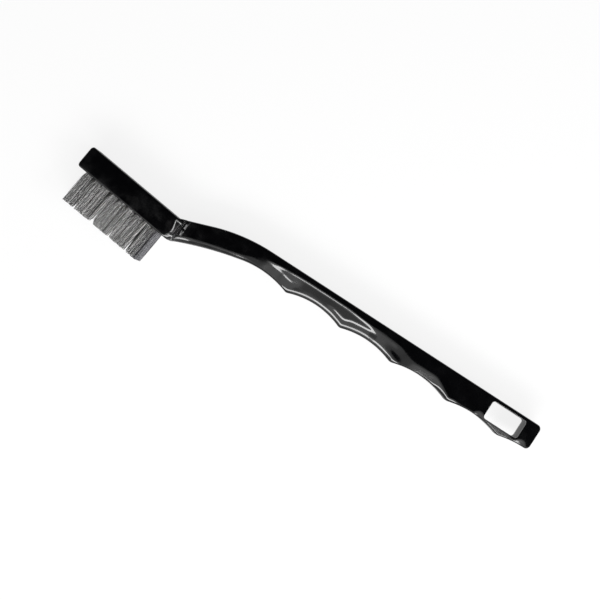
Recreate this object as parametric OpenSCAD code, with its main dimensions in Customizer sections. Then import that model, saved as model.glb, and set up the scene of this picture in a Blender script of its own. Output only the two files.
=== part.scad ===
// Crevice brush: a slim moulded handle with finger grooves, thumb hollows and a
// hang slot, and a head with three rows of wire tufts, each held by a flat anchor.
// Millimetres. Origin: centre of the head's lower broad side.
// +X runs towards the handle's end, -Y is the way the wires point,
// and +Z is up with the brush lying on its broad side.

/* [Head] */
// Length of the head along its wire face
head_l = 40; // [38:0.5:60]
// Height of the head from its wire face to its back
head_h = 8.5; // [7.8:0.1:11]
// Width of the head across the rows
head_w = 12.7; // [12:0.1:18]
// Angle between the head and the straight grip, in degrees
head_tilt = 7; // [3:0.5:11]
// Radius of the two corners at the free end
head_corner_r = 1.2; // [0.8:0.1:2.5]
// Rounding of the head's long edges
head_edge_r = 0.6; // [0.3:0.1:0.7]

/* [Shoulder] */
// Lean of the shoulder against a square cut, in degrees
shoulder_lean = 8; // [4:0.5:12]
// Length of the gentle slope where the head starts to narrow
slope_l = 1.9; // [1:0.1:3]
// How far each side drops along that slope
slope_drop = 0.9; // [0.4:0.1:1.4]
// Length of the steep step from the slope down to the neck
step_l = 1.2; // [0.6:0.1:2]
// Radius at the foot of the step
foot_r = 0.7; // [0.3:0.1:0.9]
// How far the shoulder is set in from the neck's edges
shoulder_inset = 0.3; // [0.15:0.05:0.6]

/* [Neck] */
// Slope of the neck's back against the grip, in degrees
neck_angle = 19.7; // [16:0.1:24]
// Length of the straight stretch of the neck's back
neck_l = 11.6; // [9:0.1:16]
// Radius of the bend in the neck's back
neck_back_r = 65.5; // [55:0.5:80]
// Height of the handle at its waist, where the bend ends
waist_h = 7.3; // [6.6:0.1:9]
// Radius of the hollow under the waist
waist_r = 34.8; // [28:0.1:40]
// Turn from the waist to the start of the neck's long underside curve, in degrees
under_turn = 11.9; // [9:0.1:14]

/* [Grip] */
// Thickness of the neck and the grip
grip_t = 7.3; // [6:0.1:9]
// Rounding of the grip's long edges
edge_r = 0.7; // [0.4:0.1:1]
// Bevel along the edges of the waist and the finger grooves
bevel = 0.5; // [0.2:0.1:0.8]
// Distance from the waist to the first finger cusp
cusp_1_x = 11.7; // [9:0.1:13]
// Width of the first finger groove
groove_1_w = 22.3; // [18:0.1:28]
// Depth of the first finger groove
groove_1_d = 2.2; // [1.2:0.1:2.6]
// Height of the handle at the second cusp
cusp_2_h = 9.45; // [9:0.05:11]
// Width of the second finger groove
groove_2_w = 21.4; // [18:0.1:28]
// Depth of the second finger groove
groove_2_d = 1.9; // [1.2:0.1:2.4]
// Height of the handle at the third cusp
cusp_3_h = 9.85; // [9.2:0.05:11.5]
// Width of the third finger groove
groove_3_w = 23.5; // [18:0.1:28]
// Depth of the third finger groove
groove_3_d = 2.1; // [1.2:0.1:2.6]
// Height of the handle at the fourth cusp
cusp_4_h = 10.55; // [9.8:0.05:12]
// Width of the last groove, beside the slot
groove_4_w = 21.3; // [18:0.1:28]
// Depth of the last groove
groove_4_d = 1.7; // [1:0.1:1.8]
// Height of the handle at the fifth cusp
cusp_5_h = 10.95; // [10.4:0.05:12.5]
// Distance from the fifth cusp to the handle's end
heel_l = 11.7; // [10:0.1:14]
// Depth of the shallow curve behind the fifth cusp
heel_d = 0.5; // [0.2:0.1:0.8]
// Height of the handle's end
end_h = 9.55; // [9.3:0.05:11]
// Radius of the two corners at the handle's end
end_corner_r = 1.5; // [1:0.1:2.5]

/* [Thumb hollow] */
// Length of the shallow hollow in each broad side
hollow_l = 45; // [30:0.5:50]
// Width of the hollow at its middle
hollow_w = 3.8; // [2.4:0.1:4]
// Depth of the hollow at its middle
hollow_d = 0.45; // [0.2:0.05:0.8]
// Distance from the waist to the hollow's middle
hollow_x = 23.8; // [20:0.1:30]
// Distance from the grip's back to the hollow's middle
hollow_drop = 3.95; // [3:0.05:4.1]

/* [Hang slot] */
// Length of the slot along the handle
slot_l = 14; // [10:0.1:16]
// Height of the slot
slot_h = 7; // [5:0.1:7.1]
// Wall between the slot and the handle's end
slot_end_wall = 5.2; // [3:0.1:6]
// Wall between the slot and the grip's back
slot_back_wall = 1.35; // [1.2:0.05:2]
// Radius of the slot's corners
slot_corner_r = 1; // [0.5:0.1:2]

/* [Tufts] */
// Tufts in each row
tufts_per_row = 9; // [5:1:9]
// Distance between tufts along a row
tuft_pitch = 3.75; // [3.7:0.05:4.1]
// Distance between rows
row_pitch = 3.7; // [3.5:0.05:4.2]
// Distance from the free end to the first hole's centre
first_hole = 5.15; // [4:0.05:6]
// Diameter of the tuft holes
hole_d = 3; // [2.4:0.1:3.1]
// Depth of the tuft holes
hole_depth = 5.4; // [4.5:0.1:6]
// Length of the wires outside the head
trim_l = 12.4; // [8:0.1:25]
// Space left between a hole's wall and its wires
fill_gap = 0.05; // [0.02:0.01:0.15]
// Space left between neighbouring tufts where they have spread
tuft_gap = 0.3; // [0.2:0.05:0.6]
// Distance from the head at which the tufts have spread
spread_l = 2; // [1:0.1:5]
// Radius of a spread tuft's corners
tuft_corner_r = 0.8; // [0.4:0.1:1.4]

/* [Anchors] */
// Height of an anchor along its hole
anchor_h = 1.6; // [1:0.1:2.2]
// Thickness of an anchor
anchor_t = 0.35; // [0.2:0.05:0.6]
// How far each end of an anchor cuts into the wall
anchor_bite = 0.25; // [0.1:0.05:0.35]
// Wire folded behind the anchor, at the bottom of the hole
fold_l = 0.5; // [0.3:0.1:1]

/* [Hidden] */
ROWS = ["right", "middle", "left"];
TUFTS = [for (n = [1:tufts_per_row]) n];

$fn = 64;
long_arc_fn = 360; // facets on arcs of large radius
flank_fn = 720; // facets on the flank of the thumb hollow, which is almost straight
flare_fn = 32; // facets round a tuft where it leaves its hole
tuft_corner_fn = 12; // facets round a spread tuft's corners
over = 1; // how far a cut runs past the face it opens
reach = 14; // how far an edge cutter extends away from its edge
under_margin = 4; // how far the underside's cutter turns on past the head's corner, in degrees
foot_steps = 4; // facets round the foot of the shoulder
foot_sink = 0.05; // how far that foot runs on under the neck's broad side
slab = 0.1; // thickness of the end slabs that a tuft's flare is stretched between

handle_black = [0.04, 0.04, 0.045];
wire_grey = [0.62, 0.63, 0.65];
anchor_grey = [0.75, 0.73, 0.68];

half_w = head_w / 2;
half_t = grip_t / 2;

// A point of the head's own plan, turned into the part's frame.
function from_head(p) = [
    p[0] * cos(head_tilt) + p[1] * sin(head_tilt),
    -p[0] * sin(head_tilt) + p[1] * cos(head_tilt)
];

// The way that an angle points.
function heading(angle) = [cos(angle), sin(angle)];

// The angle at which a way points.
function bearing(v) = atan2(v[1], v[0]);

// Corners of the head in its own plan, with the head's middle at [0, 0].
free_end_x = -head_l / 2;
wire_face_y = -head_h / 2;
head_back_y = head_h / 2;
base_corner_x = head_l / 2;
back_corner_x = head_l / 2 - head_h * tan(shoulder_lean);
shoulder_x = (base_corner_x + back_corner_x) / 2;

// The back: a straight neck, a round bend and the straight grip.
back_corner = from_head([back_corner_x, head_back_y]);
bend_start = back_corner + neck_l * heading(neck_angle);
bend_centre = bend_start + neck_back_r * heading(neck_angle - 90);
waist_x = bend_centre[0];
back_y = bend_centre[1] + neck_back_r;
bend_corner = [waist_x - neck_back_r * tan(neck_angle / 2), back_y];

// The underside: one long curve leaves the head's corner and runs into the waist's hollow.
base_corner = from_head([base_corner_x, wire_face_y]);
waist_centre = [waist_x, back_y - waist_h - waist_r];
joint_normal = heading(90 + under_turn);
under_joint = waist_centre + waist_r * joint_normal;
under_chord = base_corner - under_joint;
under_r = (under_chord * under_chord) / (-2 * (under_chord * joint_normal));
under_centre = under_joint - under_r * joint_normal;
under_end = bearing(base_corner - under_centre);

// The finger grip: five cusps with a groove between each two.
cusp_1_turn = asin(cusp_1_x / waist_r);
cusp_1 = waist_centre + waist_r * heading(90 - cusp_1_turn);
cusp_2 = [cusp_1[0] + groove_1_w, back_y - cusp_2_h];
cusp_3 = [cusp_2[0] + groove_2_w, back_y - cusp_3_h];
cusp_4 = [cusp_3[0] + groove_3_w, back_y - cusp_4_h];
cusp_5 = [cusp_4[0] + groove_4_w, back_y - cusp_5_h];
end_x = cusp_5[0] + heel_l;
end_y = back_y - end_h;

// The shoulder's side profile, measured along the head from the shoulder's middle.
slope_x = -slope_l / 2;
step_x = slope_x + slope_l;
foot_x = step_x + step_l;
step_z = half_w - slope_drop;
foot_z = half_t - foot_sink;
step_angle = atan2(step_z - foot_z, step_l);
foot_reach = foot_r * tan(step_angle / 2);

// Places of the tufts and their anchors in the head's own plan.
row_z = [for (i = [0:len(ROWS) - 1]) (i - (len(ROWS) - 1) / 2) * row_pitch];
tuft_x = [for (i = [0:tufts_per_row - 1]) free_end_x + first_hole + i * tuft_pitch];
hole_r = hole_d / 2;
shank_r = hole_r - fill_gap;
tuft_w = tuft_pitch - tuft_gap;
tuft_t = row_pitch - tuft_gap;
anchor_y = wire_face_y + hole_depth - fold_l - anchor_h;

// Turns what is drawn in the head's own plan into the part's frame.
module in_head() {
    rotate([0, 0, -head_tilt]) children();
}

// Lifts what is drawn about the middle plane, so that the head lies on z = 0.
module on_side() {
    translate([0, 0, half_w]) children();
}

// Places its children at the mouth of one tuft hole, with the hole along +Y.
module at_hole(row, n) {
    on_side() in_head() translate([tuft_x[n], wire_face_y, row_z[row]]) children();
}

// Section of a cutter that leaves a wall at x = 0 and rounds both its edges.
// The material is t thick and lies at x < 0.
module edge_section(t, r) {
    translate([0, -t / 2 - over]) square([reach, t + 2 * over]);
    for (side = [-1, 1])
        scale([1, side])
            difference() {
                translate([-r, t / 2 - r]) square([r + over, r + over]);
                translate([-r, t / 2 - r]) circle(r);
            }
}

// Trims a straight edge from p to q, with the material on the right hand.
module straight_edge(p, q, t, r) {
    translate([p[0], p[1], 0])
        rotate([0, 0, bearing(q - p)])
            rotate([90, 0, 90])
                linear_extrude(norm(q - p)) edge_section(t, r);
}

// Trims the outside of a round bend between two angles.
module bend_edge(centre, radius, from, to, t, r) {
    translate([centre[0], centre[1], 0])
        rotate([0, 0, from])
            rotate_extrude(angle = to - from, $fn = long_arc_fn)
                translate([radius, 0]) edge_section(t, r);
}

// Cuts a round hollow into an edge between two angles.
module hollow_edge(centre, radius, from, to, t, r) {
    translate([centre[0], centre[1], 0])
        rotate([0, 0, from])
            rotate_extrude(angle = to - from, $fn = long_arc_fn)
                translate([radius, 0]) mirror([1, 0]) edge_section(t, r);
}

// A round hollow across the grip, with bevelled edges.
module bevelled_hollow(centre, radius) {
    translate([centre[0], centre[1], 0]) {
        cylinder(h = grip_t + 2 * over, r = radius, center = true, $fn = long_arc_fn);
        for (side = [0, 1])
            mirror([0, 0, side])
                translate([0, 0, half_t - bevel])
                    cylinder(h = bevel + over, r1 = radius, r2 = radius + bevel + over, $fn = long_arc_fn);
    }
}

// A finger groove between two cusps, as deep as d at its middle.
module finger_groove(p, q, d) {
    chord = norm(q - p);
    radius = (chord * chord / 4 + d * d) / (2 * d);
    bevelled_hollow((p + q) / 2 - (radius - d) * heading(90 + bearing(q - p)), radius);
}

// Rounds an upright corner at p, whose walls face the signs sx and sy.
module corner_edge(p, sx, sy, radius, t, r) {
    translate([p[0] - sx * radius, p[1] - sy * radius, 0])
        scale([sx, sy, 1])
            difference() {
                translate([0, 0, -t / 2 - over]) cube([radius + over, radius + over, t + 2 * over]);
                rotate_extrude()
                    difference() {
                        translate([0, -t / 2 - 2 * over]) square([radius + over, t + 4 * over]);
                        translate([radius, 0]) edge_section(t, r);
                    }
            }
}

// A rounded rectangle about the origin.
module round_rect(w, h, r) {
    square([w, h - 2 * r], center = true);
    square([w - 2 * r, h], center = true);
    for (sx = [-1, 1], sy = [-1, 1])
        translate([sx * (w / 2 - r), sy * (h / 2 - r)]) circle(r);
}

// Plan of the neck and the grip before their edges are trimmed to the outline.
module grip_plan() {
    polygon([
        from_head([0, wire_face_y + over]),
        base_corner,
        cusp_1 - [0, over],
        cusp_5 - [0, over],
        [end_x + over, end_y - over],
        [end_x + over, back_y + over],
        bend_corner + [0, over],
        back_corner,
        from_head([0, head_back_y - over])
    ]);
}

module hang_slot() {
    translate([
        end_x - slot_end_wall - slot_l / 2,
        back_y - slot_back_wall - slot_h / 2,
        -half_t - over
    ])
        linear_extrude(grip_t + 2 * over) round_rect(slot_l, slot_h, slot_corner_r);
}

// A slender spindle whose flank dips into the broad side as a leaf-shaped hollow.
module thumb_hollow() {
    middle_r = (hollow_w * hollow_w / 4 + hollow_d * hollow_d) / (2 * hollow_d);
    flank_r = (hollow_l * hollow_l / 4 + hollow_d * hollow_d) / (2 * hollow_d);
    translate([waist_x + hollow_x, back_y - hollow_drop, half_t + middle_r - hollow_d])
        rotate([0, 90, 0])
            rotate_extrude()
                intersection() {
                    translate([middle_r - flank_r, 0]) circle(flank_r, $fn = flank_fn);
                    translate([0, -hollow_l / 2 - over]) square([middle_r + over, hollow_l + 2 * over]);
                }
}

// The neck and the grip, of one thickness, with every long edge rounded.
module grip_part() {
    difference() {
        translate([0, 0, -half_t]) linear_extrude(grip_t) grip_plan();
        straight_edge([waist_x, back_y], [end_x + over, back_y], grip_t, edge_r);
        bend_edge(bend_centre, neck_back_r, 90, 90 + neck_angle, grip_t, edge_r);
        straight_edge(back_corner - over * heading(neck_angle), bend_start, grip_t, edge_r);
        hollow_edge(under_centre, under_r, 90 + under_turn, under_end + under_margin, grip_t, edge_r);
        bevelled_hollow(waist_centre, waist_r);
        finger_groove(cusp_1, cusp_2, groove_1_d);
        finger_groove(cusp_2, cusp_3, groove_2_d);
        finger_groove(cusp_3, cusp_4, groove_3_d);
        finger_groove(cusp_4, cusp_5, groove_4_d);
        finger_groove(cusp_5, [end_x, end_y], heel_d);
        straight_edge([end_x, back_y + over], [end_x, end_y - over], grip_t, edge_r);
        corner_edge([end_x, back_y], 1, 1, end_corner_r, grip_t, edge_r);
        corner_edge([end_x, end_y], 1, -1, end_corner_r, grip_t, edge_r);
        hang_slot();
        thumb_hollow();
        mirror([0, 0, 1]) thumb_hollow();
    }
}

// Plan of the head, with a stub inside the neck's edges that carries the shoulder.
module head_plan() {
    stub_l = foot_x + foot_reach + over;
    under_way = heading(under_end - 90 + head_tilt);
    neck_way = heading(neck_angle + head_tilt);
    low_start = [base_corner_x, wire_face_y + shoulder_inset];
    high_start = [back_corner_x, head_back_y - shoulder_inset];
    polygon([
        [free_end_x, wire_face_y],
        [base_corner_x, wire_face_y],
        low_start,
        low_start + stub_l * under_way,
        high_start + (stub_l + base_corner_x - back_corner_x) * neck_way,
        high_start,
        [back_corner_x, head_back_y],
        [free_end_x, head_back_y]
    ]);
}

// Side profile of the head and its shoulder: full width, a slope, a step and a round foot.
module shoulder_profile() {
    upper = [
        [free_end_x - shoulder_x - head_h, half_w],
        [slope_x, half_w],
        [step_x, step_z],
        for (i = [0:foot_steps])
            let(turn = step_angle * (1 - i / foot_steps))
                [foot_x + foot_reach, foot_z + foot_r] - foot_r * [sin(turn), cos(turn)]
    ];
    lower = [for (i = [len(upper) - 1:-1:0]) [upper[i][0], -upper[i][1]]];
    polygon(concat(upper, lower));
}

// The head and its shoulder, with the tuft holes and the anchors' seats.
module head_part() {
    difference() {
        intersection() {
            translate([0, 0, -half_w]) linear_extrude(head_w) head_plan();
            translate([shoulder_x, 0, 0])
                rotate([0, 0, shoulder_lean])
                    rotate([90, 0, 0])
                        linear_extrude(2 * head_h + 2 * over, center = true) shoulder_profile();
        }
        straight_edge(
            [base_corner_x + over, wire_face_y], [free_end_x - over, wire_face_y], head_w, head_edge_r
        );
        straight_edge(
            [free_end_x, wire_face_y - over], [free_end_x, head_back_y + over], head_w, head_edge_r
        );
        straight_edge(
            [free_end_x - over, head_back_y], [back_corner_x, head_back_y], head_w, head_edge_r
        );
        corner_edge([free_end_x, wire_face_y], -1, -1, head_corner_r, head_w, head_edge_r);
        corner_edge([free_end_x, head_back_y], -1, 1, head_corner_r, head_w, head_edge_r);
    }
}

// An anchor's own space, across the hole near its bottom.
module anchor_space() {
    translate([-hole_r - anchor_bite, anchor_y - wire_face_y, -anchor_t / 2])
        cube([hole_d + 2 * anchor_bite, anchor_h, anchor_t]);
}

module handle() {
    color(handle_black)
        difference() {
            on_side() {
                grip_part();
                in_head() head_part();
            }
            for (row = [0:len(ROWS) - 1], n = [0:tufts_per_row - 1])
                at_hole(row, n) {
                    translate([0, -over, 0]) rotate([-90, 0, 0]) cylinder(h = hole_depth + over, r = hole_r);
                    anchor_space();
                }
        }
}

// The section of one tuft where its wires have spread.
module tuft_section() {
    round_rect(tuft_w, tuft_t, tuft_corner_r, $fn = tuft_corner_fn);
}

// A bundle of wires: folded over its anchor in the hole, flared at the mouth, then straight.
module tuft(row, n) {
    color(wire_grey)
        at_hole(row, n)
            difference() {
                rotate([90, 0, 0]) {
                    translate([0, 0, fill_gap - hole_depth]) cylinder(h = hole_depth, r = shank_r);
                    hull() {
                        cylinder(h = slab, r = shank_r - fill_gap, $fn = flare_fn);
                        translate([0, 0, spread_l - slab]) linear_extrude(slab) tuft_section();
                    }
                    translate([0, 0, spread_l]) linear_extrude(trim_l - spread_l) tuft_section();
                }
                anchor_space();
            }
}

// A flat strip of metal, driven in over the fold of the wires.
module anchor(row, n) {
    color(anchor_grey) at_hole(row, n) anchor_space();
}

handle();
for (row = [0:len(ROWS) - 1], n = TUFTS) {
    tuft(row, n - 1);
    anchor(row, n - 1);
}
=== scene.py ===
# Crevice brush: a black moulded handle and three rows of steel wire tufts, lying on its side
import math

import bmesh
import bpy
import numpy as np
from mathutils import Matrix, Vector


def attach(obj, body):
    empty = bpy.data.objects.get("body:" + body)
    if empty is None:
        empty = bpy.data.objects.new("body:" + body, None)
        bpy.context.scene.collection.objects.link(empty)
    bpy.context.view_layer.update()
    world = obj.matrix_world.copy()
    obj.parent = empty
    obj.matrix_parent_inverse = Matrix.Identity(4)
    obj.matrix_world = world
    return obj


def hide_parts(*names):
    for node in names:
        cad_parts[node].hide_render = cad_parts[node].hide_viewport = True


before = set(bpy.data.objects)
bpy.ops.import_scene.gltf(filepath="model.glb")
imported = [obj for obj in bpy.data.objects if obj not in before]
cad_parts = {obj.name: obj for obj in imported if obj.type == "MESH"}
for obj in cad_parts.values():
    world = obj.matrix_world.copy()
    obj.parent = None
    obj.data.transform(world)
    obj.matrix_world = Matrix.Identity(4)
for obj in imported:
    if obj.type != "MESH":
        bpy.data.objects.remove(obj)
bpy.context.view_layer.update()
mm = 0.001
midHeight = 6.35  # mm, the brush's middle plane above the floor
print("frame loaded,", len(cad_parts), "nodes")


# The handle's outline. Lengths are in mm until a mesh is made. An arc is its centre's x and y and its radius
handlePlan = {
    "tilt": 7.0,               # degrees between head and grip
    "headReach": 20.0,         # half the head's length
    "headHalf": 4.25,          # half its height
    "backCornerX": 18.805,     # where the head's back meets the neck, along the head
    "neckStart": (19.1832, 1.92652),
    "neckSlope": 19.7,         # degrees
    "bend": (52.184, -55.8295, 65.5),
    "underside": (71.7468, -125.262, 129.671),
    "undersideEnds": 45.008,   # x where the waist's arc takes over
    "waist": (52.184, -32.4295, 34.8),
    "cusps": [(63.884, 0.3447), (86.184, 0.2205), (107.584, -0.1795),
              (131.084, -0.8795), (152.384, -1.2795), (164.084, 0.1205)],
    "grooveDepths": [2.2, 1.9, 2.1, 1.7, 0.5],
    "gripEnd": 164.084,
    "lowShift": 0.667,         # a station past the head stands this much beyond its place on the lower edge
    "lastStation": 164.751,    # gripEnd and lowShift together
    # how sharply curves meet, per mm: 5.6 rounds a cusp to about 1.2 mm
    "cuspSharpness": 5.6,
    "wireFaceSharpness": 16,
    "backSharpness": 17,
    # radius of the outline's corners at the head's free end and at the grip's end
    "headCorner": 1.2,
    "endCorner": 1.5,
}
tiltCos = math.cos(math.radians(handlePlan["tilt"]))
tiltSin = math.sin(math.radians(handlePlan["tilt"]))
tiltTan = tiltSin / tiltCos
farBelow = -999.0  # mm, lower than anything here


def softMax(values, sharpness):
    # ln(sum of exp(k v)) / k, the highest of several curves with its corners rounded
    values = np.array(np.broadcast_arrays(*values))
    top = values.max(axis=0)
    return top + np.log(np.exp(sharpness * (values - top)).sum(axis=0)) / sharpness


def easeStep(t):
    # 3 t^2 - 2 t^3 between 0 and 1
    t = np.clip(t, 0, 1)
    return t * t * (3 - 2 * t)


def bell(t):
    # exp(-t^2)
    return np.exp(-t * t)


def ramp(t, sharpness):
    # ln(1 + exp(k t)) / k: nothing below 0, and t above it
    return np.logaddexp(0, sharpness * t) / sharpness


def arcTop(x, centreX, centreY, radius):
    # cy + sqrt(r^2 - (x - cx)^2), and far below where the arc has ended
    left = radius ** 2 - (x - centreX) ** 2
    return np.where(left > 0, centreY + np.sqrt(np.maximum(left, 0)), farBelow)


def grooveArc(p, q, depth):
    # the circle through both cusps whose top is depth above their chord:
    # r = (chord^2 / 4 + depth^2) / (2 depth)
    p, q = np.array(p), np.array(q)
    chord = np.linalg.norm(q - p)
    radius = (chord ** 2 / 4 + depth ** 2) / (2 * depth)
    normal = np.array([-(q - p)[1], (q - p)[0]]) / chord
    centre = (p + q) / 2 - (radius - depth) * normal
    return centre[0], centre[1], radius


grooveArcs = [grooveArc(p, q, depth) for p, q, depth in
              zip(handlePlan["cusps"], handlePlan["cusps"][1:], handlePlan["grooveDepths"])]


def lowerEdge(x):
    # the highest at each x of the underside's curve or the waist's, the five grooves and the wire face
    under = np.where(x < handlePlan["undersideEnds"],
                     arcTop(x, *handlePlan["underside"]), arcTop(x, *handlePlan["waist"]))
    grip = softMax([under] + [arcTop(x, *arc) for arc in grooveArcs], handlePlan["cuspSharpness"])
    half = handlePlan["headHalf"]
    wireFace = -(x + half * tiltSin) * tiltTan - half * tiltCos
    return softMax([grip, wireFace], handlePlan["wireFaceSharpness"])


def upperEdge(x):
    # the higher at each x of the head's back and of a straight neck that goes on in a round bend,
    # which ends level as the straight grip
    half = handlePlan["headHalf"]
    headBack = -(x - half * tiltSin) * tiltTan + half * tiltCos
    startX, startY = handlePlan["neckStart"]
    neckAngle = math.radians(handlePlan["neckSlope"])
    neck = startY + (x - startX) * math.tan(neckAngle)
    bendX, bendY, bendR = handlePlan["bend"]
    bendStart = bendX - bendR * math.sin(neckAngle)
    bent = np.where(x < bendStart, neck, arcTop(np.minimum(x, bendX), bendX, bendY, bendR))
    return softMax([headBack, bent], handlePlan["backSharpness"])


# Height of the broad sides above the middle plane. A list of pairs gives a place along x and the value there
sideShape = {
    "headHalf": 6.35,      # half the head's width across the rows
    "gripHalf": 3.65,
    # y where the broad side starts to fall towards the fingers, over how many mm, and how steeply
    "fallLine": [(38, 0.6), (40.5, 2.2), (44, 4.6), (47.5, 5.9), (51, 6.5), (53.4, 6.4), (57.9, 6.85),
                 (61.4, 7.05), (64.9, 7.31), (71.9, 7.45), (85.8, 7.4), (91, 7.1), (97, 7.3), (99.7, 7.4),
                 (108.4, 6.7), (112, 5.7), (115, 4.8), (117.2, 4.6), (124, 4.6), (127.6, 3.0), (131.1, 0.8),
                 (133, -1.0), (139.5, -1.0), (141.5, 1.8), (143, 3.1), (145, 2.4), (146.2, 1.2), (156.6, 1.2),
                 (157.6, -0.5), (158.6, 1.0), (159.6, 2.2), (162.4, 2.2), (163.6, -0.5), (165, -0.5)],
    "fallSoft": [(38, 5.5), (50, 5.5), (53, 4.0), (56, 0.6), (92, 0.6), (97, 1.5), (110, 1.5), (117, 2.2),
                 (131, 1.5), (135, 0.8), (140, 1.6), (145, 1.6), (146, 0.3), (157, 0.3), (160, 0.6)],
    "fallSlope": [(38, 0.12), (44, 0.19), (50, 0.21), (56, 0.2), (60, 0.25), (65, 0.24), (70, 0.2),
                  (78, 0.18), (86, 0.21), (98, 0.2), (107, 0.2), (111, 0.12), (114, 0.14), (117.5, 0.3),
                  (124, 0.31), (128, 0.26), (131, 0.2), (140, 0.21), (144, 0.22), (146, 0.3), (156, 0.3),
                  (158, 0.25), (165, 0.25)],
    "fallAhead": 0.3,      # share of the soft start that lies above the line
    # outline of the thumb hollow, a leaf: two lines that meet in a point at each end, each a narrow step.
    # The lists named On say how much of its step each line has
    "leafTop": [(53.4, 6.3), (57.9, 6.85), (61.4, 7.05), (64.9, 7.31), (71.9, 7.45), (85.8, 7.4), (91, 6.9),
                (94.5, 6.5), (96.3, 6.0), (97.4, 5.4)],
    "leafLow": [(53.4, 6.1), (55.5, 5.9), (57.9, 5.75), (59, 5.55), (62.1, 4.75), (66, 4.2), (78, 4.9),
                (81.3, 4.65), (85.8, 3.37), (88.6, 4.5), (92.8, 4.95), (96, 5.25), (97.4, 5.4)],
    "leafTopOn": [(53, 0), (54.5, 0.8), (66, 1), (97, 1), (97.8, 0)],
    "leafLowOn": [(53, 0), (54.5, 1), (61, 1), (63.5, 0.0), (79, 0), (82, 1), (97, 1), (97.8, 0)],
    "ridgeSlope": (0.40, 0.31),    # of the step on the top line and on the low line
    "ridgeWidth": 0.36,
    # the leaf's inside is less steep by leafEase, from leafSpan's first x to its second
    "leafEase": 0.04,
    "leafSpan": (54, 97.5),
    "leafSpanSoft": 3,
    "leafEdgeSoft": 0.5,
    # a steeper wedge at the leaf's end near the neck, where the steps fade by ridgeFade
    "tipSlope": 0.24,
    "tipStart": (53, 1.5),         # x and over how many mm
    "tipEnd": (60.5, 3.5),
    "tipEdgeSoft": 0.4,
    "ridgeFade": 0.8,
    "topFadeEnd": (58.5, 2.5),
    # soft patches: middle, half widths, and how much steeper. A patch can lean: its middle y drops by lean
    # for each mm past leanFrom
    "patches": [
        {"middle": (107.2, 3.9), "half": (2.7, 1.0), "slope": -0.15, "lean": 0.36, "leanFrom": 104.5},
        {"middle": (64.6, 5.1), "half": (2.4, 1.2), "slope": 0.18, "lean": 0.0, "leanFrom": 0.0},
        {"middle": (120.5, 2.9), "half": (3.4, 0.9), "slope": 0.03, "lean": 0.0, "leanFrom": 0.0},
    ],
    # the lower edge from outside in: a bevel with its width and slope, then an arc with its width and
    # its steepest angle in radians, where it starts
    "bevel": [(-20, 0), (18, 0), (19, 0.4), (20.5, 0.8), (22, 0.8), (24, 1.05), (27, 1.2), (32, 1.15),
              (40, 0.85), (48, 0.7), (54, 0.55), (61, 0.55), (107.6, 0.55), (124, 0.5), (127, 0.7),
              (131, 0.7), (134.6, 0.5), (165, 0.45)],
    "bevelSlope": [(-20, 0.93), (62, 0.93), (66, 0.8), (107, 0.8), (112, 0.93), (165, 0.93)],
    "lowerRoll": [(-20, 0.6), (17.5, 0.6), (19.5, 1.0), (21, 1.3), (26, 1.3), (41, 1.1), (45, 0.8),
                  (48, 0.15), (61.6, 0.15), (63.4, 1.0), (66, 1.3), (107.6, 1.3), (108.6, 0.6), (110, 0.15),
                  (123, 0.15), (126, 0.9), (131, 1.0), (134.4, 0.9), (135.4, 0.15), (165, 0.15)],
    "steepest": [(-20, 0.8), (18, 0.8), (19, 0.6), (23, 0.6), (24.5, 0.42), (26, 0.3), (28, 0.16),
                 (31, 0.22), (35, 0.3), (45, 0.3), (49, 0.15), (61, 0.15), (63, 0.5), (66, 0.55),
                 (108.5, 0.55), (111, 0.15), (123, 0.15), (126, 0.55), (134, 0.5), (135.6, 0.15), (165, 0.15)],
    "steepestNotch": (21.7, 0.65, 0.85),   # place, half width, and the share of the angle taken off there
    "leastBevel": 0.15,    # keeps the bevel's rows of points apart where it has no width
    "fallAfterBevel": 0.2,         # mm over which the fall sets in beside the bevel
    "edgeTrim": (0.12, 0.2),       # width and depth of the rounding at the very edge
    "upperRoll": 0.7,
    "headEndRoll": 0.7,
    "gripEndTrim": (0.2, 0.25),
}

# The shoulder, where the head's width steps down to the grip's. Pairs give a place across the head and,
# there, a place along it or a slope, both in the head's own plan
shoulder = {
    "start": [(-3.4, 18.2), (-2.9, 18.4), (-1.9, 19.0), (-0.9, 19.27), (0.2, 19.1), (3.1, 18.1),
              (4.2, 17.75)],
    "startShift": 0.4,
    "gentle": 0.3,         # slope from the start to the edge
    "edge": 20.2,
    "edgeWidth": 0.45,
    "edgeSlope": [(-4, 0.4), (-1.2, 0.42), (-0.6, 0.5), (0.1, 0.5), (0.6, 0.42), (2.9, 0.42), (3.2, 0.15),
                  (4.2, 0.15)],
    "treadSlope": 0.1,     # between the edge and the step
    "step": [(-4.25, 20.95), (4.2, 20.9)],
    "stepSlope": 6.0,
    # a low plane at the step's foot. Where its slope is 3 it is too short to catch the light
    "foot": [(-4.25, 21.2), (-0.7, 21.2), (-0.3, 22.9), (4.2, 22.6)],
    "footSlope": [(-0.6, 3.0), (-0.2, 0.5), (0.8, 0.42), (1.4, 0.42), (1.7, 3.0), (2.15, 3.0), (2.45, 0.46),
                  (4.2, 0.46), (4.5, 3.0)],
    "footHeight": 0.38,
    # a shallow dish in the gentle slope, between its start, the rim along the back and two more places,
    # each with how many mm its edge takes
    "dish": 0.2,
    "dishStartSoft": 0.65,
    "dishRim": (3.4, 0.55),
    "dishEnd": (20.9, 0.3),
    "dishLow": (-2.2, 1.2),
    # how sharply the slopes meet, per mm
    "slopeSharpness": 12.0,
    "stepSharpness": 60,
    "planeSharpness": 40,
}
averaging = np.linspace(-1.2, 1.2, 9)  # mm, the places that a line through points is averaged over


def throughPoints(x, points):
    # the mean over 2.4 mm of straight lines through the points
    xs, ys = np.array(points, float).T
    return np.mean([np.interp(x + shift, xs, ys) for shift in averaging], axis=0)


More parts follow.
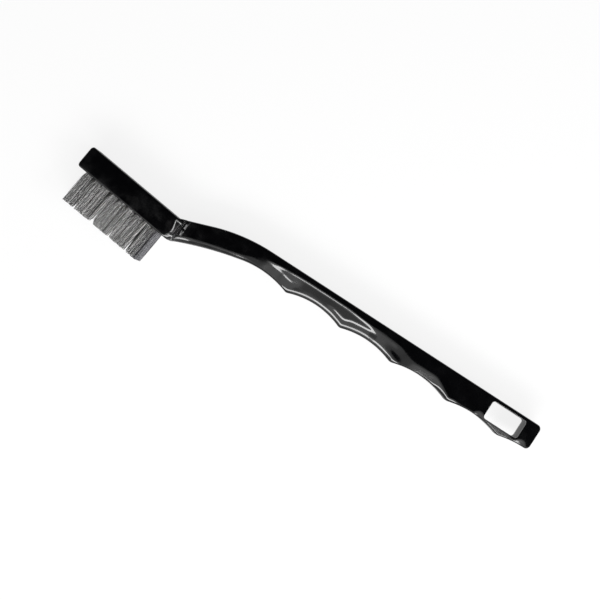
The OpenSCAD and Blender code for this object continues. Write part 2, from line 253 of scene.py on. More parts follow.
def sideProfile(x, y):
    # the head's half width less each change of slope times ramp(distance past its line), and of that,
    # the foot's plane and the grip's level the highest
    look, soft = shoulder, shoulder["slopeSharpness"]
    along, across = x * tiltCos - y * tiltSin, x * tiltSin + y * tiltCos
    start, step, foot, edgeSlope, footSlope = [np.interp(across, *np.array(look[key]).T) for key in
                                               ("start", "step", "foot", "edgeSlope", "footSlope")]
    gentle, tread = look["gentle"], look["treadSlope"]
    edge, edgeEnd = look["edge"], look["edge"] + look["edgeWidth"]
    drop = gentle * ramp(along - start - look["startShift"], soft)
    drop = drop + (edgeSlope - gentle) * ramp(along - edge, soft)
    drop = drop + (tread - edgeSlope) * ramp(along - edgeEnd, soft)
    drop = drop + (look["stepSlope"] - tread) * ramp(along - step, look["stepSharpness"])
    (rim, rimSoft), (end, endSoft), (low, lowSoft) = look["dishRim"], look["dishEnd"], look["dishLow"]
    dish = easeStep((rim - across) / rimSoft) * easeStep((along - start) / look["dishStartSoft"])
    dish = dish * easeStep((end - along) / endSoft)
    drop = drop + look["dish"] * dish * easeStep((across - low) / lowSoft)
    level = sideShape["gripHalf"]
    # 1 mm below the grip's level the foot's plane plays no part
    footPlane = level + np.clip((foot - along) * footSlope, -1, look["footHeight"])
    return softMax([sideShape["headHalf"] - drop, footPlane, level + 0 * x], look["planeSharpness"])


def fallSlope(x, y):
    # how steeply the broad side falls at each place: a slope with a soft start past the fall line, less
    # leafEase inside the leaf, plus a bell on each of its lines, a wedge at its tip and the soft patches
    look = sideShape
    below = throughPoints(x, look["fallLine"]) - y
    softStart = easeStep(below / throughPoints(x, look["fallSoft"]) + look["fallAhead"])
    slope = throughPoints(x, look["fallSlope"]) * softStart
    top, low = throughPoints(x, look["leafTop"]) - y, throughPoints(x, look["leafLow"]) - y
    (first, last), endSoft, edgeSoft = look["leafSpan"], look["leafSpanSoft"], look["leafEdgeSoft"]
    inside = easeStep(top / edgeSoft) * easeStep(-low / edgeSoft)
    inside = inside * easeStep((x - first) / endSoft) * easeStep((last - x) / endSoft)
    slope = slope - look["leafEase"] * inside
    (first, firstSoft), (last, lastSoft), edgeSoft = look["tipStart"], look["tipEnd"], look["tipEdgeSoft"]
    tip = easeStep((x - first) / firstSoft) * easeStep((last - x) / lastSoft)
    tip = tip * easeStep(top / edgeSoft + 0.5) * easeStep(-low / edgeSoft + 0.5)
    topLine = look["ridgeSlope"][0] * throughPoints(x, look["leafTopOn"]) * bell(top / look["ridgeWidth"])
    lowLine = look["ridgeSlope"][1] * throughPoints(x, look["leafLowOn"]) * bell(low / look["ridgeWidth"])
    fade, (fadeEnd, fadeSoft) = look["ridgeFade"], look["topFadeEnd"]
    slope = slope + topLine * (1 - fade * tip * easeStep((fadeEnd - x) / fadeSoft))
    slope = slope + lowLine * (1 - fade * tip)
    slope = slope + look["tipSlope"] * tip
    for patch in look["patches"]:
        (midX, midY), (halfX, halfY) = patch["middle"], patch["half"]
        leaning = patch["lean"] * (x - patch["leanFrom"])
        slope = slope + patch["slope"] * (bell((x - midX) / halfX) * bell((y - midY + leaning) / halfY))
    return np.maximum(slope, 0)


def arcDrop(t, width, steepest):
    # r - sqrt(r^2 - (width - t)^2), level from width on, where r gives the steepest angle (radians) at 0
    radius = width / np.sin(steepest)
    return radius - np.sqrt(radius ** 2 - np.clip(width - np.maximum(t, 0), 0, None) ** 2)


def quarterDrop(t, width, depth):
    # depth (1 - sqrt(1 - (1 - t / width)^2)), a quarter ellipse: depth below at the edge, level from width on
    s = np.clip(1 - t / width, 0, 1)
    return depth * (1 - np.sqrt(1 - s * s))


handleGrid = {
    "endStations": 10,
    # from, to and number of stations
    "stretches": [(-18.8, 17.8, 82), (17.8, 20.7, 30), (20.7, 21.5, 17), (21.5, 23.6, 22),
                  (23.6, 163.251, 400)],
    "wallRows": 4,
    "bevelRows": 6,
    "lowerRows": 9,
    "faceRows": 34,
    "upperRows": 7,
    "sharpAngle": 20,      # degrees between two faces from which their edge is shaded sharp
}


def stations():
    # places along the handle: 1 - cos steps round the corners at both ends, and even steps between,
    # which are closer at the shoulder
    turn = np.linspace(0, math.pi / 2, handleGrid["endStations"])
    headEnd = -handlePlan["headReach"] + handlePlan["headCorner"] * (1 - np.cos(turn))
    farEnd = handlePlan["lastStation"] - handlePlan["endCorner"] * (1 - np.cos(turn[::-1]))
    between = [np.linspace(*stretch)[1:] for stretch in handleGrid["stretches"]]
    return np.concatenate([headEnd] + between[:-1] + [between[-1][:-1], farEnd])


def handleTop():
    # rows across each station: up the lower wall from the middle plane, then the bevel, the lower rounding,
    # the broad side and the upper rounding, and down the upper wall.
    # Height = profile - fall - roundings - bevel slope times the distance to the bevel's end
    plan, look, grid = handlePlan, sideShape, handleGrid
    u = stations()[:, None]
    half, reach = plan["headHalf"], plan["headReach"]
    lowX = np.where(u <= reach, u * tiltCos - half * tiltSin, u - plan["lowShift"])
    headX = -reach + (u + reach) * (plan["backCornerX"] + reach) / (2 * reach)
    cornerX = plan["backCornerX"] * tiltCos + half * tiltSin
    along = (u - reach) / (plan["lastStation"] - reach)
    highX = np.where(u <= reach, headX * tiltCos + half * tiltSin,
                     cornerX + (plan["gripEnd"] - cornerX) * along)
    lowY, highY = lowerEdge(lowX), upperEdge(highX)
    height = np.hypot(highX - lowX, highY - lowY)

    fromStart, fromEnd = u + reach, plan["lastStation"] - u
    lift = quarterDrop(fromStart, plan["headCorner"], plan["headCorner"])
    lift = lift + quarterDrop(fromEnd, plan["endCorner"], plan["endCorner"])
    endDrop = quarterDrop(fromStart, look["headEndRoll"], look["headEndRoll"])
    endDrop = endDrop + quarterDrop(fromEnd, *look["gripEndTrim"])

    bevel, bevelSlope, lowRoll, steepest = [throughPoints(u - plan["lowShift"], look[key])
                                            for key in ("bevel", "bevelSlope", "lowerRoll", "steepest")]
    notch, notchHalf, notchShare = look["steepestNotch"]
    steepest = steepest * (1 - notchShare * bell((u - notch) / notchHalf))
    bevelRow = np.linspace(0, 1, grid["bevelRows"])[None, :] ** 2
    rollRow = np.linspace(0, 1, grid["lowerRows"])[None, 1:]
    bevelEnd = lift + np.maximum(bevel, look["leastBevel"])
    lowPart = np.concatenate([lift + (bevelEnd - lift) * bevelRow, bevelEnd + lowRoll * rollRow], axis=1)
    highRoll = look["upperRoll"]
    turn = np.linspace(math.pi / 2, 0, grid["upperRows"])[None, :]
    highPart = height - lift - highRoll * (1 - np.cos(turn))
    share = np.linspace(0, 1, grid["faceRows"] + 2)[None, 1:-1]
    facePart = lowPart[:, -1:] + (highPart[:, :1] - lowPart[:, -1:]) * share
    across = np.concatenate([lowPart, facePart, highPart], axis=1)

    w = across / height
    x, y = lowX + (highX - lowX) * w, lowY + (highY - lowY) * w
    # the fall at a place is the slope added up from the back down to it
    fromEdge = across - lift
    slope = fallSlope(x, y) * easeStep((fromEdge - bevel) / look["fallAfterBevel"] + 0.5)
    strips = (slope[:, 1:] + slope[:, :-1]) / 2 * np.diff(across, axis=1)
    fall = np.concatenate([np.cumsum(strips[:, ::-1], axis=1)[:, ::-1], 0 * u], axis=1)
    z = sideProfile(x, y) - fall - endDrop
    z = z - arcDrop(fromEdge - bevel, lowRoll, steepest) - quarterDrop(fromEdge, *look["edgeTrim"])
    z = z - bevelSlope * np.clip(bevel - fromEdge, 0, None)
    z = z - quarterDrop(height - lift - across, highRoll, highRoll)
    top = np.stack([x, y, z], axis=-1)

    wall = np.linspace(0, 1, grid["wallRows"] + 1)[None, :-1]
    lowWall = np.repeat(top[:, :1], grid["wallRows"], axis=1)
    lowWall[..., 2] *= wall
    highWall = np.repeat(top[:, -1:], grid["wallRows"], axis=1)
    highWall[..., 2] *= wall[:, ::-1]
    return np.concatenate([lowWall, top, highWall], axis=1)


def ringFaces(count, around):
    # quads between neighbouring rings of one long tube: point j of ring i is number i * around + j
    i, j = np.meshgrid(np.arange(count - 1), np.arange(around), indexing="ij")
    k = (j + 1) % around
    return np.stack([i * around + j, i * around + k, (i + 1) * around + k, (i + 1) * around + j],
                    axis=-1).reshape(-1, 4)


def tubeFaces(count, around):
    # a tube's sides and its two flat ends
    last = (count - 1) * around
    return ringFaces(count, around).tolist() + [list(range(around))[::-1], list(range(last, last + around))]


def makeObject(name, points, faces):
    # an object at the origin with its place in its mesh: points in mm times 0.001
    mesh = bpy.data.meshes.new(name)
    mesh.from_pydata(points.reshape(-1, 3) * mm, [], faces)
    mesh.validate()
    piece = bpy.data.objects.new(name, mesh)
    bpy.context.scene.collection.objects.link(piece)
    return piece


def pointOutwards(piece):
    # recalculates the normals, so that every face looks out of the shell
    shell = bmesh.new()
    shell.from_mesh(piece.data)
    bmesh.ops.recalc_face_normals(shell, faces=shell.faces)
    shell.to_mesh(piece.data)
    shell.free()


def cutWith(piece, points, faces):
    # the piece less the solid that the points and faces close, put back into its mesh
    cutter = makeObject("cutter", points, faces)
    pointOutwards(cutter)
    cut = piece.modifiers.new("cut", "BOOLEAN")
    cut.operation, cut.solver, cut.object = "DIFFERENCE", "EXACT", cutter
    whole = piece.evaluated_get(bpy.context.evaluated_depsgraph_get())
    done = bpy.data.meshes.new_from_object(whole)
    piece.modifiers.clear()
    old, piece.data = piece.data, done
    done.name = old.name + "_cut"
    bpy.data.meshes.remove(old)
    bpy.data.objects.remove(cutter)


def handleShell():
    # the upper half and its mirror image below the middle plane, z to -z, make a tube with a flat cap
    # at each end
    top = handleTop()
    under = top[:, -2:0:-1] * np.array([1, 1, -1])
    rings = np.concatenate([top, under], axis=1)
    rings[..., 2] += midHeight
    return makeObject("moulded_handle", rings, tubeFaces(rings.shape[0], rings.shape[1]))


# The slot through the grip's end. The solid's is 14 mm long, and this one is 0.3 mm shorter, as it looks
# in the picture
hangSlot = {
    "centre": (151.8, 4.8205),
    "half": (6.85, 3.5),
    "corner": 1.0,
    "rim": 0.15,           # radius of the rounding round its mouth
    "clear": (1.0, 1.6),   # mm above the broad side and out from the rim, where the cutter ends
    "rimSteps": 6,
    "cornerSteps": 9,
}


def slotCutter():
    # rounded rectangles at several heights: the corner's radius is 1 mm in the grip, grows by rim (1 - cos)
    # through the rim, and flares out above it
    level, rim, steps = sideShape["gripHalf"], hangSlot["rim"], hangSlot["cornerSteps"]
    bend = np.linspace(0, math.pi / 2, hangSlot["rimSteps"])
    upper = np.concatenate([level - rim + rim * np.sin(bend), [level + hangSlot["clear"][0]]])
    out = np.concatenate([rim * (1 - np.cos(bend)), [rim + hangSlot["clear"][1]]])
    heights = np.concatenate([-upper[::-1], upper])[:, None]
    offsets = np.concatenate([out[::-1], out])[:, None]
    corner = np.repeat(np.arange(4), steps)
    angle = corner * math.pi / 2 + np.tile(np.linspace(0, math.pi / 2, steps), 4)
    sideX = np.array([1, -1, -1, 1])[corner] * (hangSlot["half"][0] - hangSlot["corner"])
    sideY = np.array([1, 1, -1, -1])[corner] * (hangSlot["half"][1] - hangSlot["corner"])
    radius = hangSlot["corner"] + offsets
    x = hangSlot["centre"][0] + sideX + radius * np.cos(angle)
    y = hangSlot["centre"][1] + sideY + radius * np.sin(angle)
    return np.stack([x, y, midHeight + heights + 0 * x], axis=-1)


tuftPlan = {
    "rows": {"right": -3.7, "middle": 0.0, "left": 3.7},  # mm from the middle plane
    "perRow": 9,
    "first": -14.85,       # mm along the head
    "pitch": 3.75,
    "holeRadius": 1.5,
    "holeDepth": 5.4,
    "holeSides": 24,
    "cutterAbove": 1.0,    # how far the drill's cylinder stands out of the wire face
    "pairLean": 0.1,       # neighbours lean towards each other in pairs, so every other gap is wider
    "leanScatter": 0.04,
}


def fromHead(x, y, z):
    # turns the head's own plan by the tilt into the part's frame: (x cos + y sin, -x sin + y cos)
    return np.stack([x * tiltCos + y * tiltSin, -x * tiltSin + y * tiltCos, midHeight + z], axis=-1)


def holeCutters():
    # one cylinder for each tuft, (r cos, r sin) round its place, from outside the wire face to the
    # hole's bottom
    place = tuftPlan["first"] + tuftPlan["pitch"] * np.arange(tuftPlan["perRow"])
    holeX, holeZ = [a.reshape(-1, 1, 1) for a in np.meshgrid(place, list(tuftPlan["rows"].values()))]
    angle = np.linspace(0, 2 * math.pi, tuftPlan["holeSides"], endpoint=False)[None, None, :]
    ends = np.array([-tuftPlan["cutterAbove"], tuftPlan["holeDepth"]])[None, :, None]
    depth = -handlePlan["headHalf"] + ends
    x = holeX + tuftPlan["holeRadius"] * np.cos(angle)
    z = holeZ + tuftPlan["holeRadius"] * np.sin(angle)
    x, y, z = np.broadcast_arrays(x, depth, z)
    return fromHead(x, y, z)


handle = handleShell()
pointOutwards(handle)
slotRings = slotCutter()
cutWith(handle, slotRings, tubeFaces(slotRings.shape[0], slotRings.shape[1]))
holeRings = holeCutters()
holeFaces = [[point + 2 * tuftPlan["holeSides"] * hole for point in face]
             for hole in range(len(holeRings)) for face in tubeFaces(2, tuftPlan["holeSides"])]
cutWith(handle, holeRings, holeFaces)
handle.data.shade_smooth()
handle.data.set_sharp_from_angle(angle=math.radians(handleGrid["sharpAngle"]))
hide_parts("handle")
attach(handle, "root")
print("handle made,", len(handle.data.polygons), "faces")


# The wires. A real tuft has more and thinner ones, and these are as thick as they need to be to show
wirePlan = {
    "count": 120,          # for each tuft
    "radius": 0.09,
    "length": 12.4,
    "rings": 8,            # along a wire
    "ringCrowding": 1.25,  # above 1, the rings stand closer near the hole
    "around": 5,
    "rootDepth": 1.2,      # the wires start this far inside the hole
    "rootRadius": 1.4,
    "tipHalf": 1.88,       # half the square of tips along the head, and at the two ends of a row
    "tipHalfFirst": 1.45,
    "tipHalfLast": 1.4,
    "tipHalfAcross": 1.7,
    "spreadFrom": 0.25,    # mm inside the wire face, where they start to spread
    "spreadOver": 0.9,
    "scatter": (0.08, 0.06),   # mm at the tips, along and across the head
    "strands": 6,          # side by side in a tuft, each with its own lean, bow, length and tone
    "strandLean": 0.16,    # mm at the tips
    "strandShort": 0.25,
    "lengthScatter": 0.05,
    "bow": (0.06, 0.08),   # mm, of a wire and of a strand
    "bowSpan": 12,         # mm outside the wire face, over which they bow and part
    # places along the head where the tips stand apart. They shift from row to row in line with the camera
    "partings": [-12.0, -4.1, 3.7, 11.3],
    "rowShift": 0.21,      # mm for each mm below the left row
    "partPush": 0.55,
    "partHalf": 0.9,
    "partBend": 1.2,       # above 1, the wires part mostly near their tips
    "notch": -4.1,         # where a few were cut short, by how much and over what half width
    "notchDeep": 1.2,
    "notchHalf": 0.6,
    # tone: the least, and what chance adds for a wire and for its strand. It fades to nothing at the row's
    # end near the handle, a painted shade there, where the lamps reach further into the tufts than the picture
    # shows
    "tone": (0.44, 0.34, 0.22),
    "paintedShadeFrom": (14.4, 0.8),
    "sharpAngle": 80,      # degrees: the cut ends have sharp edges, and the sides are shaded round
}
goldenTurn = 2.39996  # radians from one wire to the next, which fills a disc evenly


def tuftWires(rng, holeX, holeZ, tuftLean, isFirst, isLast):
    # wire n starts at radius sqrt(n / count) and angle n times the golden turn on a disc in the hole. Outside
    # it the disc opens to a square by 1 - exp(-distance), with lean, bow sin(pi distance) and partings added
    plan = wirePlan
    count, strands = plan["count"], plan["strands"]
    order = (np.arange(count) + 0.5) / count
    radius = plan["rootRadius"] * np.sqrt(order)
    angle = np.arange(count) * goldenTurn + rng.uniform(0, 6.28)   # turned as a whole by chance
    rootX, rootZ = radius * np.cos(angle), radius * np.sin(angle)
    square = radius / plan["rootRadius"] / np.maximum(np.abs(np.cos(angle)), np.abs(np.sin(angle)))
    spreadX, spreadZ = square * np.cos(angle), square * np.sin(angle)
    halfX = np.where(spreadX < 0, plan["tipHalfFirst"] if isFirst else plan["tipHalf"],
                     plan["tipHalfLast"] if isLast else plan["tipHalf"])
    strand = np.clip((spreadX + 1) * strands / 2, 0, strands - 1).astype(int)
    lean = rng.normal(0, plan["strandLean"], (2, strands))[:, strand]
    tipX = spreadX * halfX + rng.normal(0, plan["scatter"][0], count)
    tipX = tipX + lean[0] * (1 - np.abs(spreadX)) + tuftLean
    tipZ = spreadZ * plan["tipHalfAcross"] + rng.normal(0, plan["scatter"][1], count) + lean[1]
    short = plan["strandShort"] * rng.uniform(0, 1, strands)[strand] ** 2
    aside = plan["rowShift"] * (tuftPlan["rows"]["left"] - holeZ)
    part = 0 * tipX
    for place in plan["partings"]:
        away = holeX + tipX - place + aside
        part = part + plan["partPush"] * np.sign(away) * bell(away / plan["partHalf"])
    notch = plan["notchDeep"] * bell((holeX + tipX - plan["notch"] + aside) / plan["notchHalf"])
    length = plan["length"] - np.abs(rng.normal(0, plan["lengthScatter"], count)) - short - notch
    bow = rng.normal(0, plan["bow"][0], (2, count)) + rng.normal(0, plan["bow"][1], (2, strands))[:, strand]
    least, ofWire, ofStrand = plan["tone"]
    tone = least + ofWire * rng.uniform(0, 1, count) + ofStrand * rng.uniform(0, 1, strands)[strand]
    # painted shade: the tone fades to the dark colour at the row's end near the handle
    paintedShadeFrom, paintedShadeSoft = plan["paintedShadeFrom"]
    tone = tone * (1 - easeStep((holeX + tipX - paintedShadeFrom) / paintedShadeSoft))

    share = np.linspace(0, 1, plan["rings"])[None, :]
    out = -plan["rootDepth"] + share ** plan["ringCrowding"] * (length[:, None] + plan["rootDepth"])
    spread = 1 - np.exp(-np.maximum(out + plan["spreadFrom"], 0) / plan["spreadOver"])
    outShare = np.clip(out / plan["bowSpan"], 0, 1)
    sway = np.sin(math.pi * outShare)
    x = rootX[:, None] * (1 - spread) + tipX[:, None] * spread + bow[0][:, None] * sway
    x = x + part[:, None] * outShare ** plan["partBend"]
    z = rootZ[:, None] * (1 - spread) + tipZ[:, None] * spread + bow[1][:, None] * sway

    turn = np.linspace(0, 2 * math.pi, plan["around"], endpoint=False)[None, None, :]
    ringX = holeX + x[..., None] + plan["radius"] * np.cos(turn)
    ringZ = holeZ + z[..., None] + plan["radius"] * np.sin(turn)
    ringY = -handlePlan["headHalf"] - out[..., None] + 0 * turn
    return fromHead(ringX, ringY, ringZ), tone


def makeTuft(node, rng, holeX, holeZ, tuftLean, isFirst, isLast):
    # one mesh of all its wires: a tube's faces, numbered on by rings * around for each wire
    points, shade = tuftWires(rng, holeX, holeZ, tuftLean, isFirst, isLast)
    count, rings, around = points.shape[:3]
    one = tubeFaces(rings, around)
    sides = np.array(one[:-2])[None] + np.arange(count)[:, None, None] * rings * around
    ends = np.array(one[-2:])[None] + np.arange(count)[:, None, None] * rings * around
    faces = sides.reshape(-1, 4).tolist() + ends.reshape(-1, around).tolist()
    piece = makeObject("wires_" + node, points, faces)
    # the tone holds each wire's chance share and the painted shade at the row's end near the handle
    tone = piece.data.attributes.new("wireToneAndShade", "FLOAT", "POINT")
    tone.data.foreach_set("value", np.repeat(shade, rings * around))
    piece.data.shade_smooth()
    piece.data.set_sharp_from_angle(angle=math.radians(wirePlan["sharpAngle"]))
    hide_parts(node)
    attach(piece, "root")
    return piece


rng = np.random.default_rng(41)
tufts = []
for rowName, rowZ in tuftPlan["rows"].items():
    for n in range(tuftPlan["perRow"]):
        leanOfPair = tuftPlan["pairLean"] * (1 if n % 2 else -1) + rng.normal(0, tuftPlan["leanScatter"])
        tufts.append(makeTuft(f"tuft_{rowName}_{n + 1}", rng, tuftPlan["first"] + n * tuftPlan["pitch"], rowZ,
                              leanOfPair, n == 0, n == tuftPlan["perRow"] - 1))
print(len(tufts), "tufts made")


def fromHex(text):
    # each sRGB channel c becomes c / 12.92 or ((c + 0.055) / 1.055) ^ 2.4
    c = np.array([int(text[i:i + 2], 16) for i in (1, 3, 5)]) / 255
    return (*np.where(c <= 0.04045, c / 12.92, ((c + 0.055) / 1.055) ** 2.4).tolist(), 1.0)


def perMm(size):
    # noise scale for features of this many mm, on Object coordinates in metres: 1 / (size times 0.001)
    return 1 / (size * mm)


def addNode(tree, kind, links=None, values=None, **options):
    # links join a socket to another node's output, values are set on sockets, options on the node itself
    node = tree.nodes.new("ShaderNode" + kind)
    for option, setting in options.items():
        setattr(node, option, setting)
    for socket, value in (values or {}).items():
        node.inputs[socket].default_value = value
    for socket, source in (links or {}).items():
        tree.links.new(source, node.inputs[socket])
    return node


def newMaterial(name):
    # a material with no nodes yet, and its node tree
    material = bpy.data.materials.new(name)
    material.use_nodes = True
    material.node_tree.nodes.clear()
    return material, material.node_tree


def dress(piece, material):
    # the piece's mesh gets this material alone
    piece.data.materials.clear()
    piece.data.materials.append(material)


# Black polypropylene, injection moulded in a polished mould: deep black with a soft gloss, slightly uneven
# where it shrank, and a little duller in patches from handling
plasticLook = {
    "colour": "#030304",
    "ior": 1.65,           # polypropylene has about 1.49, and the picture's highlights need more
    "glossy": 0.1,         # roughness between the patches, and in them at the head and along the grip
    "wornHead": 0.27,
    "wornGrip": 0.15,
    "wornBetween": (0.03, 0.11),   # m, x from which wornHead changes, and where wornGrip is reached
    "patch": 5.0,          # mm
    "patchEdge": (0.4, 0.66),      # values of the noise between which a patch sets in
    "wall": 0.5,           # roughness of upright walls, duller than the broad sides as in the picture
    "wallTilt": (0.05, 0.12),      # normal's z at which a wall is fully dull, and where that ends
    "sink": 6.0,           # mm from one shrink mark to the next
    "sinkDepth": 0.00012,  # m
    "grain": 0.5,          # mm: the mould's polish is finer, and this is as coarse as it needs to show
    "grainDepth": 0.00001,
    "bump": 0.5,           # strength of both
}


def mouldedPlastic():
    # roughness = the higher of patchy gloss and dull walls; bump = shrink marks, then grain
    look = plasticLook
    material, tree = newMaterial("black_moulded_polypropylene")
    place = addNode(tree, "TexCoord").outputs["Object"]
    along = addNode(tree, "SeparateXYZ", {"Vector": place}).outputs["X"]
    worn = addNode(tree, "MapRange", {"Value": along}, {
        "From Min": look["wornBetween"][0], "From Max": look["wornBetween"][1],
        "To Min": look["wornHead"], "To Max": look["wornGrip"]}, clamp=True)
    patch = addNode(tree, "TexNoise", {"Vector": place}, {"Scale": perMm(look["patch"]), "Detail": 4.0})
    rough = addNode(tree, "MapRange", {"Value": patch.outputs["Fac"], "To Max": worn.outputs["Result"]},
                    {"From Min": look["patchEdge"][0], "From Max": look["patchEdge"][1],
                     "To Min": look["glossy"]}, clamp=True)
    upright = addNode(tree, "SeparateXYZ", {0: addNode(tree, "NewGeometry").outputs["Normal"]}).outputs["Z"]
    upright = addNode(tree, "Math", {0: upright}, operation="ABSOLUTE").outputs["Value"]
    dull = addNode(tree, "MapRange", {"Value": upright}, {
        "From Min": look["wallTilt"][0], "From Max": look["wallTilt"][1],
        "To Min": look["wall"], "To Max": 0.0}, clamp=True)
    rough = addNode(tree, "Math", {0: rough.outputs["Result"], 1: dull.outputs["Result"]},
                    operation="MAXIMUM")
    sink = addNode(tree, "TexNoise", {"Vector": place}, {"Scale": perMm(look["sink"]), "Detail": 1.0})
    grain = addNode(tree, "TexNoise", {"Vector": place}, {"Scale": perMm(look["grain"]), "Detail": 3.0})
    wide = addNode(tree, "Bump", {"Height": sink.outputs["Fac"]},
                   {"Strength": look["bump"], "Distance": look["sinkDepth"]})
    fine = addNode(tree, "Bump", {"Height": grain.outputs["Fac"], "Normal": wide.outputs["Normal"]},
                   {"Strength": look["bump"], "Distance": look["grainDepth"]})
    shader = addNode(tree, "BsdfPrincipled",
                     {"Roughness": rough.outputs["Value"], "Normal": fine.outputs["Normal"]},
                     {"Base Color": fromHex(look["colour"]), "IOR": look["ior"]})
    addNode(tree, "OutputMaterial", {"Surface": shader.outputs["BSDF"]})
    return material


# Stainless spring wire, cold drawn and cut in a bundle: bright metal, soft in gloss, each wire a little
# lighter or darker than its neighbour, with painted shade on the wires at the row's end near the handle
wireLook = {
    "dark": "#808083",
    "light": "#f2f1ee",
    "roughness": 0.44,
    "streak": 0.8,         # mm: the marks of drawing are finer, and this is as coarse as they need to show
}


def drawnWire():
    # colour = from dark to light by the wire's tone times noise; the tone holds a chance share and painted
    # shade at the row's end near the handle
    material, tree = newMaterial("drawn_stainless_wire")
    tone = addNode(tree, "Attribute", attribute_name="wireToneAndShade")
    place = addNode(tree, "TexCoord").outputs["Object"]
    streak = addNode(tree, "TexNoise", {"Vector": place}, {"Scale": perMm(wireLook["streak"]), "Detail": 2.0})
    mixed = addNode(tree, "Math", {0: tone.outputs["Fac"], 1: streak.outputs["Fac"]}, operation="MULTIPLY")
    colour = addNode(tree, "Mix", {"Factor": mixed.outputs["Value"]}, data_type="RGBA",
                     values={6: fromHex(wireLook["dark"]), 7: fromHex(wireLook["light"])})
    shader = addNode(tree, "BsdfPrincipled", {"Base Color": colour.outputs[2]},
                     {"Metallic": 1.0, "Roughness": wireLook["roughness"]})
    addNode(tree, "OutputMaterial", {"Surface": shader.outputs["BSDF"]})
    return material


# Flat nickel-silver strip, rolled and cropped: pale warm metal with fine lines along it
anchorLook = {
    "colour": "#a9a396",
    "shade": "#8e897e",
    "roughness": 0.38,
    "line": 0.12,          # mm: rolling marks are finer, and this is as coarse as they need to show
    "stretch": 8,          # how many times longer a line is than wide
    "lineDepth": 0.00001,  # m
    "bump": 0.4,
}


def croppedStrip():
    # colour and bump follow one noise, drawn out along x
    look = anchorLook
    material, tree = newMaterial("rolled_anchor_strip")
    place = addNode(tree, "TexCoord").outputs["Object"]
    drawnOut = addNode(tree, "Mapping", {"Vector": place}, {"Scale": (1, look["stretch"], look["stretch"])})
    lines = addNode(tree, "TexNoise", {"Vector": drawnOut.outputs["Vector"]},
                    {"Scale": perMm(look["line"] * look["stretch"])})
    colour = addNode(tree, "Mix", {"Factor": lines.outputs["Fac"]}, data_type="RGBA",
                     values={6: fromHex(look["shade"]), 7: fromHex(look["colour"])})
    bump = addNode(tree, "Bump", {"Height": lines.outputs["Fac"]},
                   {"Strength": look["bump"], "Distance": look["lineDepth"]})
    shader = addNode(tree, "BsdfPrincipled",
                     {"Base Color": colour.outputs[2], "Normal": bump.outputs["Normal"]},
                     {"Metallic": 1.0, "Roughness": look["roughness"]})
    addNode(tree, "OutputMaterial", {"Surface": shader.outputs["BSDF"]})
    return material


dress(handle, mouldedPlastic())
wireMaterial = drawnWire()
for tuft in tufts:
    dress(tuft, wireMaterial)
stripMaterial = croppedStrip()
for name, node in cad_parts.items():
    if name.startswith("anchor_"):
        dress(node, stripMaterial)
print("materials made")


studio = {
    "floor": "#f4f4f4",
    "floorHalf": 3.0,      # m
    "floorWhite": 0.85,    # share of plain white that the camera and reflections see in the floor
    # each lamp: degrees from straight up, degrees round from the picture's bottom, metres away, metres wide
    # and high, and its brightness as seen. The two boxes give the sharp highlights, and the two wide screens
    # behind them the greys on gentler slopes
    "lamps": {
        "softbox": {"way": 50.0, "swing": -8.0, "away": 0.62, "size": (0.72, 0.21), "level": 9.5},
        "side": {"way": 50.0, "swing": 57.0, "away": 0.62, "size": (0.3, 0.21), "level": 9.5},
        "fillWide": {"way": 46.0, "swing": -8.0, "away": 0.92, "size": (1.65, 1.25), "level": 0.5},
        "fillNarrow": {"way": 46.0, "swing": -8.0, "away": 0.9, "size": (1.3, 0.85), "level": 0.55},
    },
    "lampAim": (0.0696, 0.001, 0.006),     # m, the brush's middle
    # the room's level near the floor, and from roomTop, the height of a way of length 1, up
    "roomLow": 0.3,
    "roomHigh": 0.006,
    "roomTop": 0.6,
    "cameraPlace": (69.46, 0.94, 356.35),  # mm, straight above the middle of the picture
    "cameraRoll": 33.0,                    # degrees that +X runs below the picture's horizontal
    "focal": 998.4 / 600,                  # focal length over the picture's width
    "sensor": 36,
}


def raySeen(tree, kinds):
    # the highest of these Light Path outputs: 1 for rays of any of the kinds, else 0
    path = addNode(tree, "LightPath")
    seen = path.outputs[kinds[0]]
    for kind in kinds[1:]:
        seen = addNode(tree, "Math", {0: seen, 1: path.outputs[kind]}, operation="MAXIMUM").outputs["Value"]
    return seen


# White paper: mostly plain white for the camera and in reflections, and real paper, which keeps the shadow
def paperFloor():
    # paper + (white - paper) times floorWhite for the rays that see it
    material, tree = newMaterial("white_paper_floor")
    paper = addNode(tree, "BsdfDiffuse", values={"Color": fromHex(studio["floor"])})
    white = addNode(tree, "Emission", values={"Color": (1, 1, 1, 1), "Strength": 1.0})
    seen = raySeen(tree, ["Is Camera Ray", "Is Glossy Ray", "Is Transmission Ray"])
    share = addNode(tree, "Math", {0: seen}, {1: studio["floorWhite"]}, operation="MULTIPLY")
    both = addNode(tree, "MixShader", {0: share.outputs["Value"], 1: paper.outputs["BSDF"],
                                       2: white.outputs["Emission"]})
    addNode(tree, "OutputMaterial", {"Surface": both.outputs["Shader"]})
    return material


floorMesh = bpy.data.meshes.new("floor")
corners = np.array([[-1, -1, 0], [1, -1, 0], [1, 1, 0], [-1, 1, 0]]) * studio["floorHalf"]
floorMesh.from_pydata(corners.tolist(), [], [(0, 1, 2, 3)])
floor = bpy.data.objects.new("floor", floorMesh)
bpy.context.scene.collection.objects.link(floor)
dress(floor, paperFloor())

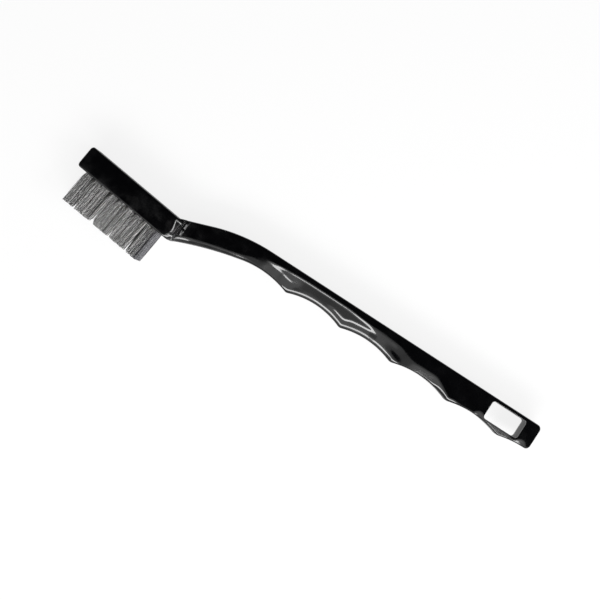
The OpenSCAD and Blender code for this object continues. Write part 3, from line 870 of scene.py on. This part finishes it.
roll = math.radians(studio["cameraRoll"])
right, up = Vector((math.cos(roll), math.sin(roll), 0)), Vector((-math.sin(roll), math.cos(roll), 0))
camera = bpy.data.cameras.new("camera")
camera.sensor_width = studio["sensor"]
camera.lens = camera.sensor_width * studio["focal"]
camera.clip_start = 0.01  # m
cameraObject = bpy.data.objects.new("camera", camera)
cameraTurn = Matrix((right, up, (0, 0, 1))).transposed().to_4x4()
cameraObject.matrix_world = Matrix.Translation(Vector(studio["cameraPlace"]) * mm) @ cameraTurn
bpy.context.scene.collection.objects.link(cameraObject)
bpy.context.scene.camera = cameraObject


def areaLight(name, look):
    # stands away times the way from the brush's middle and faces it, where the way is cos up and sin aside.
    # Its energy is level times pi times its area, so that it is seen at that level
    tip, swing = math.radians(look["way"]), math.radians(look["swing"])
    flat = -up * math.cos(swing) + right * math.sin(swing)
    way = flat * math.sin(tip) + Vector((0, 0, 1)) * math.cos(tip)
    side = Vector((0, 0, 1)).cross(way).normalized()
    light = bpy.data.lights.new(name, "AREA")
    light.shape = "RECTANGLE"
    light.size, light.size_y = look["size"]
    light.energy = look["level"] * math.pi * light.size * light.size_y
    lamp = bpy.data.objects.new(name, light)
    turn = Matrix((side, way.cross(side), way)).transposed().to_4x4()
    lamp.matrix_world = Matrix.Translation(Vector(studio["lampAim"]) + way * look["away"]) @ turn
    bpy.context.scene.collection.objects.link(lamp)


for lampName, lampLook in studio["lamps"].items():
    areaLight(lampName, lampLook)


def studioRoom():
    # plain white for the camera, and for other rays a smooth change from roomLow at the floor to roomHigh
    world = bpy.data.worlds.new("studio")
    world.use_nodes = True
    tree = world.node_tree
    tree.nodes.clear()
    height = addNode(tree, "SeparateXYZ", {0: addNode(tree, "TexCoord").outputs["Generated"]}).outputs["Z"]
    dim = addNode(tree, "MapRange", {"Value": height}, {
        "From Min": 0.0, "From Max": studio["roomTop"],
        "To Min": studio["roomLow"], "To Max": studio["roomHigh"]}, interpolation_type="SMOOTHSTEP")
    room = addNode(tree, "Background", {"Strength": dim.outputs["Result"]}, {"Color": (1, 1, 1, 1)})
    white = addNode(tree, "Background", values={"Color": (1, 1, 1, 1), "Strength": 1.0})
    both = addNode(tree, "MixShader", {0: raySeen(tree, ["Is Camera Ray"]), 1: room.outputs["Background"],
                                       2: white.outputs["Background"]})
    addNode(tree, "OutputWorld", {"Surface": both.outputs["Shader"]})
    return world


bpy.context.scene.world = studioRoom()
bpy.context.scene.view_settings.view_transform = "Standard"
print("floor, light and camera made")
